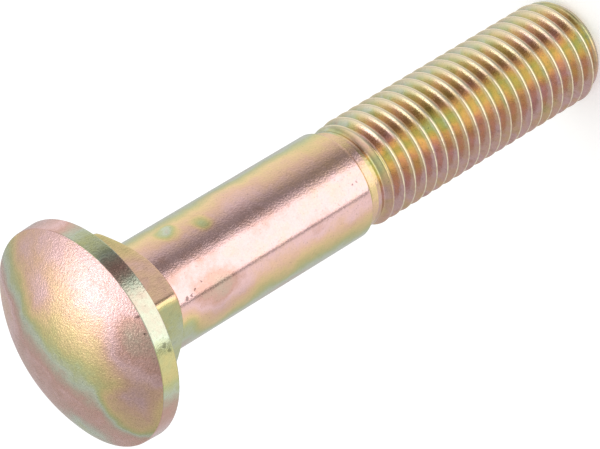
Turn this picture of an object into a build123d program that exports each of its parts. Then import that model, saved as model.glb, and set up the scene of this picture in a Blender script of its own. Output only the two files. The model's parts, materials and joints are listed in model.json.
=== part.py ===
from build123d import *
from math import asin, cos, sin, sqrt
import os

# Carriage bolt used as a wheel stud: round head, square neck, part-threaded shank.
# It is one piece of steel, headed and then thread-rolled from one bar.
# It stands on its threaded end. The origin is the centre of that end's flat face,
# and +Z runs up the axis to the crown of the head.

# ---- driving dimensions, in millimetres ----

length_under_head = 107.95  # seat of the head to the threaded end
shank_diameter = 19.05      # plain part of the shank

head_diameter = 38.2        # at the seat, where the head is widest
rim_height = 3.4            # the head's nearly straight side
rim_draft = 0.14            # how much smaller the rim's radius is at its top
dome_rise = 6.2             # crown of the dome above the rim
crease_radius = 0.25        # rounding where the rim meets the dome
seat_edge_radius = 0.35     # rounding of the rim at the seat

neck_depth = 9.6            # seat to the foot of the square neck
neck_flat_rise = 0.08       # how far each flat of the neck stands out from the shank
neck_corner_radius = 1.25   # rounded corners of the square
neck_foot_height = 1.6      # height over which the corners run down into the shank
neck_fillet_radius = 0.6    # inside corner between the neck and the seat

plain_length = 51.9         # seat to the start of the step down to the thread
step_length = 0.7           # cone between the shank and the bar that the thread is rolled on
bare_length = 1.45          # stretch of that bar left bare before the thread
crest_drop = 0.12           # how far the thread's crests lie below the shank's surface
thread_pitch = 2.54         # ten threads to the inch
end_chamfer_depth = 1.405   # the chamfer's drop from the crests to the end's flat face
end_chamfer_length = 2.1    # the chamfer's length along the axis

# ---- sizes worked out from them ----

shank_radius = shank_diameter / 2
thread_radius = shank_radius - crest_drop
end_face_radius = thread_radius - end_chamfer_depth
# Rolling a 60 degree thread lifts its crests about 0.3 pitch above the bar.
rolled_bar_radius = thread_radius - 0.3 * thread_pitch
lead_length = thread_radius - rolled_bar_radius

seat_z = length_under_head
rim_top_z = seat_z + rim_height
crown_z = rim_top_z + dome_rise
neck_foot_z = seat_z - neck_depth
step_top_z = seat_z - plain_length
step_foot_z = step_top_z - step_length
thread_top_z = step_foot_z - bare_length

rim_radius = head_diameter / 2
rim_top_radius = rim_radius - rim_draft
dome_radius = (rim_top_radius**2 + dome_rise**2) / (2 * dome_rise)

neck_width = shank_diameter + 2 * neck_flat_rise
neck_corner_reach = (neck_width / 2 - neck_corner_radius) * sqrt(2) + neck_corner_radius


def dome_point(share):
    """A point of the dome's arc, from the crown (share 0) to the rim (share 1)."""
    angle = share * asin(rim_top_radius / dome_radius)
    return (dome_radius * sin(angle), crown_z - dome_radius * (1 - cos(angle)))


def turned_section():
    """Half section of everything round: threaded end, shank, rim and dome."""
    straight_part = Polyline(
        dome_point(0),
        (0, 0),
        (end_face_radius, 0),
        (thread_radius, end_chamfer_length),
        (thread_radius, thread_top_z - lead_length),
        (rolled_bar_radius, thread_top_z),
        (rolled_bar_radius, step_foot_z),
        (shank_radius, step_top_z),
        (shank_radius, seat_z),
        (rim_radius, seat_z),
        dome_point(1),
    )
    dome_arc = ThreePointArc(dome_point(1), dome_point(0.5), dome_point(0))
    section = make_face(straight_part + dome_arc)
    widest_corners = section.vertices().sort_by(Axis.X)[-2:].sort_by(Axis.Y)
    section = fillet(widest_corners[0], seat_edge_radius)
    crease = section.vertices().sort_by_distance((*dome_point(1), 0))[0]
    return fillet(crease, crease_radius)


def square_neck():
    """Square block with rounded corners, whose foot is turned down into the shank."""
    block = extrude(RectangleRounded(neck_width, neck_width, neck_corner_radius), neck_depth)
    foot_slope = (neck_corner_reach - shank_radius) / neck_foot_height
    foot_cone = Cone(
        shank_radius,
        shank_radius + foot_slope * neck_depth,
        neck_depth,
        align=(Align.CENTER, Align.CENTER, Align.MIN),
    )
    return Pos(0, 0, neck_foot_z) * (block & foot_cone)


def inside_corner(body):
    """The edges where the neck's sides meet the flat seat of the head."""
    at_seat = body.edges().filter_by(lambda edge: abs(edge.center().Z - seat_z) < 1e-4)
    return [edge for edge in at_seat if edge.center().length > 0 and on_neck(edge)]


def on_neck(edge):
    """True where an edge lies within the reach of the neck's corners."""
    point = edge.position_at(0.5)
    return sqrt(point.X**2 + point.Y**2) < neck_corner_reach + 0.01


turned_body = revolve(Plane.XZ * turned_section(), Axis.Z)
bolt = turned_body + square_neck()
bolt = fillet(inside_corner(bolt), neck_fillet_radius)

os.makedirs("parts", exist_ok=True)
export_step(bolt, "parts/bolt.step")
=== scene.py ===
import json
from math import atan2, cos, degrees, pi, radians, sin, sqrt

import bpy
from mathutils import Matrix, Vector


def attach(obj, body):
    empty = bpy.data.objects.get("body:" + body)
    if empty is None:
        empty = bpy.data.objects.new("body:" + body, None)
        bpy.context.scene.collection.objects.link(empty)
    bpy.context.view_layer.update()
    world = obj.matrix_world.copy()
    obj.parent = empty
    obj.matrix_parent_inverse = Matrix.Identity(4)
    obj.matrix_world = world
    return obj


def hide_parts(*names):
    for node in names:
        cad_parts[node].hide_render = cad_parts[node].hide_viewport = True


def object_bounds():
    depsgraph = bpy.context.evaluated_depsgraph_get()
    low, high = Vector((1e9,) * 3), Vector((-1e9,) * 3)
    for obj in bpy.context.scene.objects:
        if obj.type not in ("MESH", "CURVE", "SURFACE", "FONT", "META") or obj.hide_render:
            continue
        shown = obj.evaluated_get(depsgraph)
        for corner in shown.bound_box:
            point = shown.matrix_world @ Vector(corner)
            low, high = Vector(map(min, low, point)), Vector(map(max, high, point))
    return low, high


# A carriage bolt used as a wheel stud, in yellow passivated zinc.
# It stands on its threaded end, head up. Lengths are in metres, in the row's frame.

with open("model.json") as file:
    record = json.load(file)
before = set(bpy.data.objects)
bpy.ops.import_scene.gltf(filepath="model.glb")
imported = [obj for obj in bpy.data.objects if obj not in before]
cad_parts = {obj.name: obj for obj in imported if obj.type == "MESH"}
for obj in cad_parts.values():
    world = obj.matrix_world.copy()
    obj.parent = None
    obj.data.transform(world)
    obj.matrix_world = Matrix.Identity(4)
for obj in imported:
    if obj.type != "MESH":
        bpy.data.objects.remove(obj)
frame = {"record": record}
cad_low, cad_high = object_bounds()

MM = 0.001

# ---------------------------------------------------------------- sizes

mounts = {mount["name"]: mount for mount in frame["record"]["mounts"]}
SHANK_R = mounts["shank"]["dims"]["r_mm"] * MM
CREST_R = mounts["thread"]["dims"]["r_mm"] * MM
SEAT_Z = mounts["head_seat"]["pos_m"][2]
CROWN_Z = cad_high.z

RIM_R = 19.1 * MM               # at the seat
RIM_HEIGHT = 3.4 * MM
RIM_DRAFT = 0.14 * MM
CREASE_ROUND = 0.25 * MM
SEAT_EDGE_ROUND = 0.35 * MM

NECK_DEPTH = 9.6 * MM
NECK_HALF_WIDTH = SHANK_R + 0.08 * MM
NECK_CORNER_R = 1.25 * MM
NECK_FOOT_HEIGHT = 1.6 * MM
NECK_FILLET_R = 0.6 * MM
FOOT_ROUNDING = 0.45            # share of the foot's cone that its rounded edge takes up

PLAIN_LENGTH = 51.9 * MM
STEP_LENGTH = 0.7 * MM
BARE_LENGTH = 1.45 * MM
PITCH = 2.54 * MM
THREAD_DEPTH = 0.6134 * PITCH
CREST_HALF_FLAT = PITCH / 16
CREST_ROUND = 0.09 * MM
ROOT_ROUND = 0.144 * PITCH
BAR_R = CREST_R - 0.3 * PITCH
CREST_START_Z = 0.92 * MM       # height of a crest at azimuth 0, less whole pitches
RUNOUT = 1.3 * PITCH            # length over which the thread fades out below the bare bar

END_FACE_R = CREST_R - 1.405 * MM
CHAMFER_LENGTH = 2.1 * MM
DISH_DEPTH = 0.25 * MM          # rolling leaves the end face slightly hollow

RIM_TOP_Z = SEAT_Z + RIM_HEIGHT
RIM_TOP_R = RIM_R - RIM_DRAFT
DOME_RISE = CROWN_Z - RIM_TOP_Z
DOME_R = (RIM_TOP_R**2 + DOME_RISE**2) / (2 * DOME_RISE)
NECK_FOOT_Z = SEAT_Z - NECK_DEPTH
STEP_TOP_Z = SEAT_Z - PLAIN_LENGTH
STEP_FOOT_Z = STEP_TOP_Z - STEP_LENGTH
THREAD_TOP_Z = STEP_FOOT_Z - BARE_LENGTH
NECK_REACH = (NECK_HALF_WIDTH - NECK_CORNER_R) * sqrt(2) + NECK_CORNER_R
FOOT_SLOPE = (NECK_REACH - SHANK_R) / NECK_FOOT_HEIGHT

COLUMNS = 192                   # points round the bolt
CORNER_CROWDING = 0.6           # columns stand closer together at the neck's corners


def column_azimuths():
    """Azimuths of the mesh's columns, closest together at the four corners of the neck."""
    even = [2 * pi * column / COLUMNS for column in range(COLUMNS)]
    return [turn + CORNER_CROWDING * sin(4 * turn) / 4 for turn in even]


AZIMUTHS = column_azimuths()


# ---------------------------------------------------------------- shape of each surface

def smooth_step(value):
    value = min(max(value, 0), 1)
    return value * value * (3 - 2 * value)


def soft_min(a, b, width):
    """The smaller of two lengths, rounded over where they meet."""
    return (a + b - sqrt((a - b) ** 2 + width**2)) / 2


def thread_profile(along):
    """Radius of the full thread at a distance along the axis from the nearest crest."""
    below_flat = sqrt(3) * (along - CREST_HALF_FLAT)
    flank_drop = (below_flat + sqrt(below_flat**2 + CREST_ROUND**2)) / 2
    from_root = PITCH / 2 - along
    if from_root < ROOT_ROUND * cos(radians(30)):
        return CREST_R - THREAD_DEPTH + ROOT_ROUND - sqrt(ROOT_ROUND**2 - from_root**2)
    return CREST_R - flank_drop


def thread_radius(azimuth, z):
    """Radius of the threaded part, with its runout at the top and its chamfer at the end."""
    turns = (z - CREST_START_Z) / PITCH - azimuth / (2 * pi)
    along = abs(turns - round(turns)) * PITCH
    share = smooth_step((THREAD_TOP_Z - z) / RUNOUT)
    radius = BAR_R + share * (thread_profile(along) - BAR_R)
    chamfer = END_FACE_R + z * (CREST_R - END_FACE_R) / CHAMFER_LENGTH
    return soft_min(radius, chamfer, 0.05 * MM)


def square_radius(azimuth, grow=0):
    """Distance from the axis to the neck's rounded square, let out by grow."""
    half = NECK_HALF_WIDTH + grow
    corner = NECK_CORNER_R + grow
    turn = abs((azimuth + pi / 4) % (pi / 2) - pi / 4)
    centre = half - corner
    if half * sin(turn) / cos(turn) <= centre:
        return half / cos(turn)
    off_corner = turn - pi / 4
    reach = centre * sqrt(2)
    return reach * cos(off_corner) + sqrt(corner**2 - (reach * sin(off_corner)) ** 2)


def foot_edge_z(azimuth):
    """Height at which a side of the neck meets the cone of its foot."""
    return NECK_FOOT_Z + (square_radius(azimuth) - SHANK_R) / FOOT_SLOPE


def round_row(radius, z):
    """A row of points on a circle round the axis."""
    return [(radius, z)] * COLUMNS


def arc(radius, z, size, start, end, steps):
    """Points (radius, z) on a rounding, from one angle to another in degrees."""
    angles = [radians(start + (end - start) * step / steps) for step in range(steps + 1)]
    return [(radius + size * cos(angle), z + size * sin(angle)) for angle in angles]


# ---------------------------------------------------------------- mesh

class Skin:
    """Builds one closed mesh of revolution-like rows, from the end face up to the crown."""

    def __init__(self):
        self.points = []
        self.faces = []
        self.surfaces = []

    def point(self, radius, azimuth, z):
        self.points.append((radius * cos(azimuth), radius * sin(azimuth), z))
        return len(self.points) - 1

    def row(self, places):
        return [self.point(r, azimuth, z) for azimuth, (r, z) in zip(AZIMUTHS, places)]

    def face(self, corners, surface):
        kept = [c for i, c in enumerate(corners) if c != corners[i - 1]]
        if len(kept) >= 3 and len(set(kept)) == len(kept):
            self.faces.append(kept)
            self.surfaces.append(surface)

    def join(self, below, above, surface):
        for column in range(COLUMNS):
            after = (column + 1) % COLUMNS
            self.face([below[column], below[after], above[after], above[column]], surface)

    def stack(self, start, rows, surface):
        """Adds rows above a first one, and returns the last of them."""
        for places in rows:
            above = self.row(places)
            self.join(start, above, surface)
            start = above
        return start


def end_face(skin):
    """The hollowed end face. Returns the row at its edge."""
    centre = skin.point(0, 0, DISH_DEPTH)
    edge = [(thread_radius(azimuth, 0), 0) for azimuth in AZIMUTHS]
    rings = []
    for share in (0.12, 0.3, 0.48, 0.64, 0.78, 0.88, 0.94, 0.985, 1):
        hollow = DISH_DEPTH * smooth_step((0.92 - share) / 0.8)
        rings.append([(share * radius, hollow) for radius, _ in edge])
    first = skin.row(rings[0])
    for column in range(COLUMNS):
        skin.face([centre, first[(column + 1) % COLUMNS], first[column]], "end")
    return skin.stack(first, rings[1:], "end")


PITCH_STEPS = (-0.46, -0.42, -0.375, -0.27, -0.16, -0.09, -0.05, 0,
               0.05, 0.09, 0.16, 0.27, 0.375, 0.42, 0.46, 0.5)


def thread(skin, start):
    """The helical thread: every row climbs one pitch a turn, so crests and roots lie on rows."""
    top_row = [(BAR_R, THREAD_TOP_Z)] * COLUMNS
    top = skin.row(top_row)
    turns = int(THREAD_TOP_Z / PITCH) + 3
    heights = [CREST_START_Z + (turn + step) * PITCH for turn in range(-2, turns) for step in PITCH_STEPS]
    closest = 0.04 * MM

    def climbing_row(height):
        row = []
        for column, azimuth in enumerate(AZIMUTHS):
            z = height + PITCH * azimuth / (2 * pi)
            if z < closest:
                row.append(start[column])
            elif z > THREAD_TOP_Z - closest:
                row.append(top[column])
            else:
                row.append(skin.point(thread_radius(azimuth, z), azimuth, z))
        return row

    rows = [climbing_row(height) for height in heights]
    per_turn = len(PITCH_STEPS)
    for index in range(len(rows) - 1):
        below, above = rows[index], rows[index + 1]
        for column in range(COLUMNS - 1):
            corners = [below[column], below[column + 1], above[column + 1], above[column]]
            skin.face(corners, "thread")
        if index + per_turn + 1 < len(rows):
            corners = [below[-1], rows[index + per_turn][0], rows[index + per_turn + 1][0], above[-1]]
            skin.face(corners, "thread")
    return top


def shank(skin, start):
    """Bare bar, the step up to the plain shank, and the shank."""
    start = skin.stack(start, [round_row(BAR_R, THREAD_TOP_Z + 0.3 * BARE_LENGTH)], "bar")
    start = skin.stack(start, [round_row(BAR_R, THREAD_TOP_Z + 0.85 * BARE_LENGTH)], "bar")
    start = skin.stack(start, [round_row(BAR_R, STEP_FOOT_Z)], "bar")
    rise = SHANK_R - BAR_R
    profile = [(BAR_R + rise * share, STEP_FOOT_Z + STEP_LENGTH * share) for share in (0.1, 0.5, 0.85)]
    profile += [(SHANK_R - 0.04 * MM, STEP_TOP_Z), (SHANK_R, STEP_TOP_Z + 0.12 * MM)]
    start = skin.stack(start, [round_row(*place) for place in profile], "step")
    plain = NECK_FOOT_Z - STEP_TOP_Z
    shares = [0.01] + [step / 24 for step in range(1, 24)] + [0.99, 0.998, 1]
    rows = [round_row(SHANK_R, STEP_TOP_Z + plain * share) for share in shares]
    return skin.stack(start, rows, "shank")


def neck(skin, start):
    """The square neck, from the cone of its foot up to the fillet under the head."""

    def cone_place(azimuth, share):
        return (SHANK_R + share * (square_radius(azimuth) - SHANK_R),
                NECK_FOOT_Z + share * (foot_edge_z(azimuth) - NECK_FOOT_Z))

    def edge_place(azimuth, share):
        """A place on the rounding between the cone and the side, from 0 on the cone to 1 on the side."""
        low_r, low_z = cone_place(azimuth, 1 - FOOT_ROUNDING)
        edge_r, edge_z = cone_place(azimuth, 1)
        high_z = edge_z + FOOT_ROUNDING * (edge_z - NECK_FOOT_Z) + 0.03 * MM
        left = 1 - share
        radius = left * left * low_r + (1 - left * left) * edge_r
        return (radius, left * left * low_z + 2 * left * share * edge_z + share * share * high_z)

    rows = [[cone_place(azimuth, share) for azimuth in AZIMUTHS] for share in (0.08, 0.35)]
    for share in (0, 0.25, 0.5, 0.75, 1):
        rows.append([edge_place(azimuth, share) for azimuth in AZIMUTHS])
    start = skin.stack(start, rows, "neck")
    side_top = SEAT_Z - NECK_FILLET_R
    rows = []
    for share in (0.9, 0.7, 0.5, 0.3, 0.1, 0.03, 0):
        rows.append([(square_radius(azimuth), side_top - share * (side_top - edge_place(azimuth, 1)[1]))
                     for azimuth in AZIMUTHS])
    start = skin.stack(start, rows, "neck")
    fillet = []
    for step in range(1, 7):
        turn = step * pi / 12
        grow = NECK_FILLET_R * (1 - cos(turn))
        z = side_top + NECK_FILLET_R * sin(turn)
        fillet.append([(square_radius(azimuth, grow), z) for azimuth in AZIMUTHS])
    return skin.stack(start, fillet, "neck")


def head(skin, start):
    """Seat, rim and dome."""
    inner = [square_radius(azimuth, NECK_FILLET_R) for azimuth in AZIMUTHS]
    outer = RIM_R - SEAT_EDGE_ROUND
    seat = []
    for share in (0.05, 0.3, 0.65, 0.95, 1):
        seat.append([(radius + share * (outer - radius), SEAT_Z) for radius in inner])
    start = skin.stack(start, seat, "seat")
    edge = arc(outer, SEAT_Z + SEAT_EDGE_ROUND, SEAT_EDGE_ROUND, -75, 0, 5)
    start = skin.stack(start, [round_row(*place) for place in edge], "rim")
    side_low = SEAT_Z + SEAT_EDGE_ROUND
    side_high = RIM_TOP_Z - CREASE_ROUND

    def side(share):
        z = side_low + share * (side_high - side_low)
        return (RIM_R - RIM_DRAFT * share, z)

    start = skin.stack(start, [round_row(*side(share)) for share in (0.06, 0.3, 0.6, 0.94, 1)], "rim")
    tilt = degrees(atan2(RIM_TOP_R, DOME_R - DOME_RISE))
    crease_centre = (RIM_TOP_R - CREASE_ROUND, side_high)
    crease = arc(*crease_centre, CREASE_ROUND, 0, 90 - tilt, 5)[1:]
    start = skin.stack(start, [round_row(*place) for place in crease], "rim")
    edge_r, edge_z = crease[-1]
    rise = CROWN_Z - edge_z
    ball = (edge_r**2 + rise**2) / (2 * rise)
    reach = atan2(edge_r, ball - rise)
    rows = []
    for share in [0.985] + [step / 34 for step in range(33, 0, -1)]:
        turn = reach * share
        rows.append(round_row(ball * sin(turn), CROWN_Z - ball * (1 - cos(turn))))
    start = skin.stack(start, rows, "dome")
    crown = skin.point(0, 0, CROWN_Z)
    for column in range(COLUMNS):
        skin.face([start[column], start[(column + 1) % COLUMNS], crown], "dome")


SURFACES = ("end", "thread", "bar", "step", "shank", "neck", "seat", "rim", "dome")


def bolt_mesh():
    skin = Skin()
    edge = end_face(skin)
    top = thread(skin, edge)
    top = shank(skin, top)
    top = neck(skin, top)
    head(skin, top)
    mesh = bpy.data.meshes.new("carriage_bolt")
    mesh.from_pydata(skin.points, [], skin.faces)
    mesh.validate()
    mesh.polygons.foreach_set("use_smooth", [True] * len(mesh.polygons))
    mesh.polygons.foreach_set("material_index", [SURFACES.index(name) for name in skin.surfaces])
    mesh.update()
    return mesh


# ---------------------------------------------------------------- finish

VIEW_AZIMUTH = radians(-35.5)   # direction from the bolt to the camera
TOWARDS_VIEW = (cos(VIEW_AZIMUTH), sin(VIEW_AZIMUTH), 0)
ACROSS_VIEW = (-sin(VIEW_AZIMUTH), cos(VIEW_AZIMUTH), 0)

# Colours of the yellow passivation as its film grows thicker. They come round again at 1.
FILM_COLOURS = (
    (0.00, (0.84, 0.56, 0.54)),   # pink
    (0.14, (0.83, 0.54, 0.39)),   # peach
    (0.30, (0.84, 0.62, 0.33)),   # gold
    (0.45, (0.66, 0.58, 0.27)),   # olive
    (0.56, (0.56, 0.58, 0.30)),   # green
    (0.68, (0.60, 0.65, 0.50)),   # grey teal
    (0.80, (0.62, 0.47, 0.37)),   # brown mauve
    (0.90, (0.68, 0.41, 0.34)),   # dusky pink
    (1.00, (0.84, 0.56, 0.54)),
)


class Graph:
    """Adds nodes to one node tree. Each call returns the new node's output socket."""

    def __init__(self, tree):
        self.tree = tree

    def feed(self, socket, value):
        if isinstance(value, bpy.types.NodeSocket):
            self.tree.links.new(value, socket)
        else:
            socket.default_value = value

    def node(self, kind, inputs=None, output=0, **settings):
        made = self.tree.nodes.new(kind)
        for name, value in settings.items():
            setattr(made, name, value)
        for name, value in (inputs or {}).items():
            self.feed(made.inputs[name], value)
        return made.outputs[output]

    def math(self, operation, *values):
        return self.node("ShaderNodeMath", dict(enumerate(values)), operation=operation)

    def vector(self, operation, first, second, output=0):
        return self.node("ShaderNodeVectorMath", {0: first, 1: second}, output, operation=operation)

    def total(self, *values):
        result = values[0]
        for value in values[1:]:
            result = self.math("ADD", result, value)
        return result

    def dot(self, vector, direction):
        return self.vector("DOT_PRODUCT", vector, direction, "Value")

    def fade(self, value, zero_at, one_at):
        """Rises smoothly from 0 to 1 between two values, which may run downwards."""
        inputs = {"Value": value, "From Min": zero_at, "From Max": one_at}
        return self.node("ShaderNodeMapRange", inputs, interpolation_type="SMOOTHSTEP")

    def noise(self, vector, scale, detail=2.0, roughness=0.5, output="Fac"):
        inputs = {"Vector": vector, "Scale": scale, "Detail": detail, "Roughness": roughness}
        return self.node("ShaderNodeTexNoise", inputs, output)

    def ramp(self, value, stops):
        made = self.tree.nodes.new("ShaderNodeValToRGB")
        elements = made.color_ramp.elements
        while len(elements) < len(stops):
            elements.new(0.5)
        for element, (place, colour) in zip(elements, stops):
            element.position = place
            element.color = (*colour, 1)
        self.feed(made.inputs["Fac"], value)
        return made.outputs["Color"]

    def round_about(self, place, stops):
        """A number by azimuth from the view in degrees, positive counterclockwise from above."""
        x = self.dot(place, TOWARDS_VIEW)
        y = self.dot(place, ACROSS_VIEW)
        turn = self.math("MULTIPLY_ADD", self.math("ARCTAN2", y, x), 1 / (2 * pi), 0.5)
        return self.ramp(turn, [(degree / 360 + 0.5, (level,) * 3) for degree, level in stops])

    def mix(self, share, plain, other):
        made = self.tree.nodes.new("ShaderNodeMix")
        made.data_type = "RGBA"
        self.feed(made.inputs[0], share)
        self.feed(made.inputs[6], plain)
        self.feed(made.inputs[7], other)
        return made.outputs[2]


# How wide the bright band on the thread's crests is, by azimuth from the view. It is partly wear and partly
# a painted highlight, wider on the side where the crests catch the light.
CREST_WEAR_AND_HIGHLIGHT_WIDTH = (
    (-180, 0.12), (-90, 0.09), (-10, 0.09), (8, 0.18), (24, 0.75), (75, 1.0), (120, 0.4), (180, 0.12),
)


class Finish(Graph):
    """One zinc surface, built from fields of film thickness, wear and grain in the row's frame."""

    def __init__(self, name):
        self.material = bpy.data.materials.new(name)
        self.material.use_nodes = True
        super().__init__(self.material.node_tree)
        self.shader = self.tree.nodes["Principled BSDF"]
        self.place = self.node("ShaderNodeTexCoord", output="Object")
        self.wandering = self.shaken(170, 3.6 * MM)

    def shaken(self, scale, reach):
        """The place, moved by noise to give uneven edges."""
        noise = self.noise(self.place, scale, 1.5, 0.5, "Color")
        shift = self.vector("SUBTRACT", noise, (0.5, 0.5, 0.5))
        return self.vector("ADD", self.place, self.vector("MULTIPLY", shift, (reach,) * 3))

    def swing(self, scale, amount, stretch=1.0):
        """Noise between about -amount and amount. A stretch below 1 draws it out along the bolt."""
        place = self.vector("MULTIPLY", self.place, (1, 1, stretch))
        return self.math("MULTIPLY_ADD", self.noise(place, scale, 3), 4 * amount, -2 * amount)

    def spot(self, centre, radius, amount, edge=0.0):
        """A round spot, from amount inside the share edge of its radius to nothing outside."""
        away = self.vector("DISTANCE", self.wandering, centre, "Value")
        return self.math("MULTIPLY", self.fade(away, radius, edge * radius), amount)

    def marks(self, nicks):
        """Small nicks: 1 in the middle of each and 0 between them."""
        ragged = self.shaken(1900, 0.9 * MM)
        result = 0.0
        for centre, radius in nicks:
            away = self.vector("DISTANCE", ragged, centre, "Value")
            result = self.math("ADD", result, self.fade(away, radius, 0.5 * radius))
        return self.math("MINIMUM", result, 1.0)


def zinc(name, film, roughness=0.13, grain=40.0, grain_around=None, nicks=(), tone=1.0, stains=0.14,
         mottle=0.05, painted_shade=None, streaks=0.0, worn_crests_and_painted_highlight=False):
    """A zinc surface. The function film gives its film thickness, and the optional shade function gives
    painted shade, darkening the colour where the surface looks dim in its light. Grain is in micrometres."""
    finish = Finish(name)
    thickness = finish.total(film(finish), finish.swing(420, 0.05), finish.swing(1500, 0.025))
    colour = finish.ramp(finish.math("FRACT", thickness), FILM_COLOURS)
    stain = finish.fade(finish.noise(finish.place, 700, 5, 0.65), 0.5, 0.72)
    pits = finish.fade(finish.noise(finish.place, 2900, 2, 0.6), 0.63, 0.70)
    damage = finish.math("MAXIMUM", finish.marks(nicks), finish.math("MULTIPLY", pits, 0.35))
    shade = finish.total(tone, finish.math("MULTIPLY", stain, -stains),
                         finish.math("MULTIPLY", damage, -0.5),
                         finish.swing(3400, mottle))
    # Painted shade: darken the colour where the surface looks dim in its light.
    if painted_shade:
        shade = finish.math("SUBTRACT", shade, painted_shade(finish))
    colour = finish.vector("MULTIPLY", colour, shade)
    # Pale crests: worn metal, plus a painted highlight whose width follows the azimuth from the view.
    if worn_crests_and_painted_highlight:
        flat_place = finish.vector("MULTIPLY", finish.place, (1, 1, 0))
        radius = finish.vector("LENGTH", flat_place, (0, 0, 0), "Value")
        ragged = finish.total(radius, finish.swing(1300, 0.04 * MM))
        reach = finish.math("MULTIPLY", finish.round_about(finish.wandering, CREST_WEAR_AND_HIGHLIGHT_WIDTH), 1.0 * MM)
        from_crest = finish.math("SUBTRACT", ragged, CREST_R)
        crest = finish.fade(finish.math("DIVIDE", from_crest, reach), -1.0, 0.1)
        colour = finish.mix(crest, colour, (0.88, 0.76, 0.55, 1))
    finish.feed(finish.shader.inputs["Base Color"], colour)
    finish.shader.inputs["Metallic"].default_value = 1
    uneven = finish.total(roughness, finish.swing(500, 0.25 * roughness),
                          finish.math("MULTIPLY", damage, 0.3))
    finish.feed(finish.shader.inputs["Roughness"], uneven)
    height = finish.math("MULTIPLY", finish.noise(finish.place, 3000, 3, 0.65), grain)
    if grain_around:
        height = finish.math("MULTIPLY", height, finish.round_about(finish.wandering, grain_around))
    if streaks:
        slanted = finish.vector("MULTIPLY", finish.place, (2600, 2600, 380))
        height = finish.total(height, finish.math("MULTIPLY", finish.noise(slanted, 1.0, 2), streaks))
    height = finish.total(height, finish.math("MULTIPLY", damage, -14.0))
    bump = finish.node("ShaderNodeBump", {"Height": height, "Distance": 1e-6, "Strength": 1.0})
    finish.feed(finish.shader.inputs["Normal"], bump)
    return finish.material


def on_side(azimuth_from_view, below_seat, radius=SHANK_R):
    """A point on the bolt's side, by azimuth from the view in degrees and millimetres below the seat."""
    turn = VIEW_AZIMUTH + radians(azimuth_from_view)
    return (radius * cos(turn), radius * sin(turn), SEAT_Z - below_seat * MM)


def on_dome(towards, across):
    """A point of the dome, by its shares of the rim's radius towards the view and across it."""
    x = RIM_R * (towards * TOWARDS_VIEW[0] + across * ACROSS_VIEW[0])
    y = RIM_R * (towards * TOWARDS_VIEW[1] + across * ACROSS_VIEW[1])
    return (x, y, CROWN_Z - DOME_R + sqrt(DOME_R**2 - x * x - y * y))


def shank_film(finish):
    around = finish.round_about(finish.wandering, (
        (-180, 0.36), (-150, 0.50), (-125, 0.95), (-100, 0.84), (-78, 0.72), (-69, 0.62), (-60, 0.46),
        (-50, 0.32), (-40, 0.13), (-30, 0.01), (5, 0.00), (20, 0.05), (35, 0.13), (45, 0.22), (55, 0.33),
        (65, 0.48), (76, 0.66), (95, 0.80), (125, 0.50), (150, 0.25), (180, 0.36),
    ))
    return finish.total(
        around,
        finish.swing(75, 0.10, 0.6),
        finish.spot(on_side(49, 16.4), 2.7 * MM, 0.34, 0.45),
        finish.spot(on_side(48, 16.4), 1.5 * MM, 0.20),
        finish.spot(on_side(35, 21.8), 2.6 * MM, 0.42, 0.2),
        finish.spot(on_side(-52, 10), 5 * MM, 0.22),
        finish.spot(on_side(-50, 19), 8 * MM, -0.28),
        finish.spot(on_side(42, 30), 8 * MM, -0.10),
    )


def thread_film(finish):
    around = finish.round_about(finish.wandering, (
        (-180, 0.30), (-140, 0.50), (-112, 0.22), (-90, 0.06), (-60, 0.10), (-46, 0.04), (-30, 0.10),
        (-20, 0.20), (-11, 0.38), (-2, 0.46), (7, 0.35), (18, 0.20), (40, 0.24), (54, 0.46), (74, 0.64),
        (110, 0.60), (145, 0.45), (180, 0.30),
    ))
    return finish.total(around, finish.swing(150, 0.20), finish.swing(340, 0.13))


# Painted shade on the thread: darker by azimuth from the view, most where its grooves look dim.
def thread_painted_shade(finish):
    return finish.round_about(finish.wandering, (
        (-180, 0.06), (-90, 0.10), (-35, 0.17), (-20, 0.14), (-8, 0.02), (8, 0.08), (40, 0.0), (180, 0.06)))


def rim_film(finish):
    around = finish.round_about(finish.wandering, (
        (-180, 0.45), (-140, 0.80), (-100, 0.98), (-75, 0.97), (-60, 0.86), (-52, 0.70), (-42, 0.48),
        (-30, 0.50), (-16, 0.70), (10, 0.74), (19, 0.90), (28, 0.66), (40, 0.56), (50, 0.78), (60, 0.95),
        (80, 0.90), (110, 0.70), (150, 0.40), (180, 0.45),
    ))
    return finish.total(around, finish.swing(110, 0.04))


# Painted shade on the rim: deepens the dark band that it reflects to one side of the view.
def rim_painted_shade(finish):
    return finish.total(
        finish.spot(on_side(20, -1.6, RIM_R), 5.0 * MM, 0.42, 0.45),
        finish.spot(on_side(40, -1.6, RIM_R), 5.0 * MM, 0.12, 0.3),
    )


def dome_film(finish):
    towards = finish.dot(finish.wandering, TOWARDS_VIEW)
    across = finish.dot(finish.wandering, ACROSS_VIEW)
    slant = finish.math("MULTIPLY_ADD", across, 0.35, towards)
    bands = finish.math("MULTIPLY_ADD", slant, -0.92 / RIM_R, 1.69)
    return finish.total(
        finish.math("MINIMUM", finish.math("MAXIMUM", bands, 1.01), 1.92),
        finish.swing(110, 0.05),
        finish.spot(on_dome(0.16, 0.46), 0.32 * RIM_R, -0.36),
        finish.spot(on_dome(0.10, 0.80), 0.36 * RIM_R, -0.20),
        finish.spot(on_dome(-0.62, 0.55), 0.50 * RIM_R, 0.22),
        finish.spot(on_dome(-0.50, -0.66), 0.42 * RIM_R, -0.30),
        finish.spot(on_dome(0.30, -0.74), 0.38 * RIM_R, -0.46, 0.4),
        finish.spot(on_dome(0.80, -0.44), 0.50 * RIM_R, -0.22, 0.4),
    )


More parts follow.
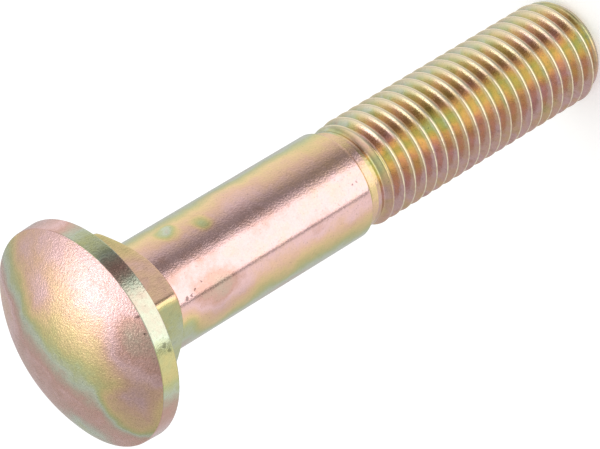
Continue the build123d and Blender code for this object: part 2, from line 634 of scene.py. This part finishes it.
# Painted shade on the dome: darkens two patches where it reflects the dim side of the studio.
def dome_painted_shade(finish):
    return finish.total(
        finish.spot(on_dome(0.74, -0.44), 0.52 * RIM_R, 0.26, 0.35),
        finish.spot(on_dome(0.34, -0.76), 0.42 * RIM_R, 0.20, 0.3),
    )


def neck_film(finish):
    around = finish.round_about(finish.wandering, (
        (-180, 0.30), (-110, 0.70), (-60, 0.62), (-35, 0.55), (-14, 0.46), (-8, 0.15), (35, 0.16),
        (60, 0.34), (110, 0.62), (150, 0.12), (180, 0.30),
    ))
    return finish.total(around, finish.swing(260, 0.08))


def plain_film(finish):
    return finish.total(0.25, finish.swing(130, 0.30))


# How strong the grain is, by azimuth from the view.
COARSE_SIDE = ((-180, 0.5), (-90, 0.4), (-30, 0.18), (0, 0.2), (8, 0.75), (16, 1.0), (60, 0.7), (180, 0.5))

SHANK_NICKS = (
    (on_side(-20, 12.6), 0.36 * MM), (on_side(-17, 13.6), 0.30 * MM), (on_side(-21, 11.6), 0.42 * MM),
    (on_side(-13, 15.2), 0.28 * MM), (on_side(-9, 49.0), 0.30 * MM), (on_side(-8, 50.2), 0.26 * MM),
    (on_side(-7, 12.0), 0.24 * MM), (on_side(150, 24), 0.45 * MM), (on_side(-140, 33), 0.40 * MM),
    (on_side(100, 40), 0.35 * MM),
)
NECK_NICKS = ((on_side(-29, 2.6, 10.4 * MM), 0.62 * MM), (on_side(28, 5.6, 10.2 * MM), 0.35 * MM))
RIM_NICKS = ((on_side(-24, -1.6, RIM_R), 0.55 * MM), (on_side(-27, -0.9, RIM_R), 0.5 * MM),
             (on_side(120, -1.5, RIM_R), 0.5 * MM))
DOME_NICKS = ((on_dome(0.97, -0.10), 0.40 * MM), (on_dome(0.94, -0.24), 0.34 * MM),
              (on_dome(-0.92, 0.30), 0.45 * MM))

FINISHES = {
    "end": zinc("zinc_end", plain_film, roughness=0.24, grain=60),
    # The thread's lower tone and its painted shade darken it, standing in for the shade in its grooves.
    "thread": zinc("zinc_thread", thread_film, roughness=0.19, grain=26, tone=0.94, painted_shade=thread_painted_shade,
                   worn_crests_and_painted_highlight=True),
    "bar": zinc("zinc_bar", plain_film, roughness=0.22, grain=60),
    "step": zinc("zinc_step", plain_film, roughness=0.22, grain=60),
    "shank": zinc("zinc_shank", shank_film, roughness=0.09, grain=55, grain_around=COARSE_SIDE,
                  nicks=SHANK_NICKS, stains=0.06),
    "neck": zinc("zinc_neck", neck_film, roughness=0.2, grain=40, nicks=NECK_NICKS, streaks=26),
    "seat": zinc("zinc_seat", plain_film, roughness=0.25, grain=60),
    "rim": zinc("zinc_rim", rim_film, roughness=0.12, grain=90, grain_around=COARSE_SIDE, nicks=RIM_NICKS,
                stains=0.05, mottle=0.07, painted_shade=rim_painted_shade),
    "dome": zinc("zinc_dome", dome_film, roughness=0.22, grain=100, nicks=DOME_NICKS, stains=0.08,
                 mottle=0.10, painted_shade=dome_painted_shade),
}

bolt = bpy.data.objects.new("carriage_bolt", bolt_mesh())
bpy.context.scene.collection.objects.link(bolt)
for surface in SURFACES:
    bolt.data.materials.append(FINISHES[surface])
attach(bolt, "root")
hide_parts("bolt")

# ---------------------------------------------------------------- light and floor

# Light from round about, at and below the bolt's own height, by azimuth from the view.
STUDIO_SIDES = (
    (-180, 0.62), (-150, 0.64), (-120, 0.70), (-100, 0.76), (-80, 0.95), (-62, 1.02), (-51.5, 1.00),
    (-49.3, 0.35), (-46.7, 0.35), (-44.5, 1.60), (11, 1.60), (20, 0.55), (30, 0.25), (42, 0.26),
    (52, 0.42), (62, 0.60), (72, 0.76), (90, 0.92), (120, 1.02), (138, 0.78), (160, 0.66), (180, 0.62),
)
OVERHEAD = 0.62
GLOW = 0.38                     # extra light round the lamp
LAMP_AZIMUTH = 106              # from the view, in degrees
LAMP_ELEVATION = 72
LAMP_AWAY = 0.8
LAMP_SIZE = 0.42
LAMP_POWER = 0.95


def towards_lamp():
    lifted = radians(LAMP_ELEVATION)
    turn = VIEW_AZIMUTH + radians(LAMP_AZIMUTH)
    return Vector((cos(lifted) * cos(turn), cos(lifted) * sin(turn), sin(lifted)))


def studio_world():
    """A soft studio all round, which the camera itself sees as plain white."""
    world = bpy.data.worlds.new("studio")
    world.use_nodes = True
    graph = Graph(world.node_tree)
    direction = graph.node("ShaderNodeTexCoord", output="Generated")
    sides = graph.round_about(direction, STUDIO_SIDES)
    glow = graph.fade(graph.dot(direction, towards_lamp()), cos(radians(56)), cos(radians(22)))
    above = graph.math("MULTIPLY_ADD", glow, GLOW, OVERHEAD)
    height = graph.dot(direction, (0, 0, 1))
    studio = graph.mix(graph.fade(height, -0.1, 0.35), sides, above)
    rays = graph.tree.nodes.new("ShaderNodeLightPath")
    colour = graph.mix(rays.outputs["Is Camera Ray"], studio, (1, 1, 1, 1))
    graph.feed(graph.tree.nodes["Background"].inputs["Color"], colour)
    bpy.context.scene.world = world


def add_lamp():
    data = bpy.data.lights.new("lamp", "AREA")
    data.shape = "DISK"
    data.size = LAMP_SIZE
    data.energy = LAMP_POWER
    lamp = bpy.data.objects.new("lamp", data)
    lamp.location = Vector((0, 0, SEAT_Z)) + LAMP_AWAY * towards_lamp()
    lamp.rotation_mode = "QUATERNION"
    lamp.rotation_quaternion = towards_lamp().to_track_quat("Z", "Y")
    bpy.context.scene.collection.objects.link(lamp)


def add_floor():
    """A white floor. From below it lets the camera through."""
    mesh = bpy.data.meshes.new("floor")
    half = 2.0
    low = -0.05 * MM
    corners = [(-half, -half, low), (half, -half, low), (half, half, low), (-half, half, low)]
    mesh.from_pydata(corners, [], [(0, 1, 2, 3)])
    floor = bpy.data.objects.new("floor", mesh)
    floor.visible_glossy = False
    bpy.context.scene.collection.objects.link(floor)
    material = bpy.data.materials.new("floor")
    material.use_nodes = True
    graph = Graph(material.node_tree)
    graph.tree.nodes.remove(graph.tree.nodes["Principled BSDF"])
    rays = graph.tree.nodes.new("ShaderNodeLightPath")
    white = graph.node("ShaderNodeBsdfDiffuse", {"Color": (0.95, 0.95, 0.95, 1)})
    lift = graph.math("MULTIPLY", rays.outputs["Is Camera Ray"], 0.30)
    shine = graph.node("ShaderNodeEmission", {"Color": (1, 1, 1, 1), "Strength": lift})
    seen = graph.node("ShaderNodeAddShader", {0: white, 1: shine})
    clear = graph.node("ShaderNodeBsdfTransparent")
    below = graph.node("ShaderNodeNewGeometry", output="Backfacing")
    surface = graph.node("ShaderNodeMixShader", {0: below, 1: seen, 2: clear})
    graph.feed(graph.tree.nodes["Material Output"].inputs["Surface"], surface)
    mesh.materials.append(material)


studio_world()
add_lamp()
add_floor()

# ---------------------------------------------------------------- camera

VIEW_ELEVATION = radians(33.77)
VIEW_ROLL = radians(-121.32)    # the bolt lies slantwise across the picture
LENS = 241.06                   # for a 36 mm wide sensor
SEAT_RIGHT = -31.72 * MM        # where the seat's centre lies, seen from the camera
SEAT_UP = -16.25 * MM
SEAT_AWAY = 624.8 * MM


def add_camera():
    back = Vector((cos(VIEW_AZIMUTH) * cos(VIEW_ELEVATION), sin(VIEW_AZIMUTH) * cos(VIEW_ELEVATION),
                   sin(VIEW_ELEVATION)))
    level_right = Vector((0, 0, 1)).cross(back).normalized()
    level_up = back.cross(level_right)
    right = cos(VIEW_ROLL) * level_right + sin(VIEW_ROLL) * level_up
    up = cos(VIEW_ROLL) * level_up - sin(VIEW_ROLL) * level_right
    place = Vector((0, 0, SEAT_Z)) - SEAT_RIGHT * right - SEAT_UP * up + SEAT_AWAY * back
    data = bpy.data.cameras.new("camera")
    data.sensor_width = 36
    data.lens = LENS
    data.clip_start = 0.01
    data.clip_end = 20
    camera = bpy.data.objects.new("camera", data)
    camera.matrix_world = Matrix((right, up, back)).transposed().to_4x4()
    camera.location = place
    bpy.context.scene.collection.objects.link(camera)
    bpy.context.scene.camera = camera


add_camera()

bpy.context.scene.view_settings.view_transform = "Standard"
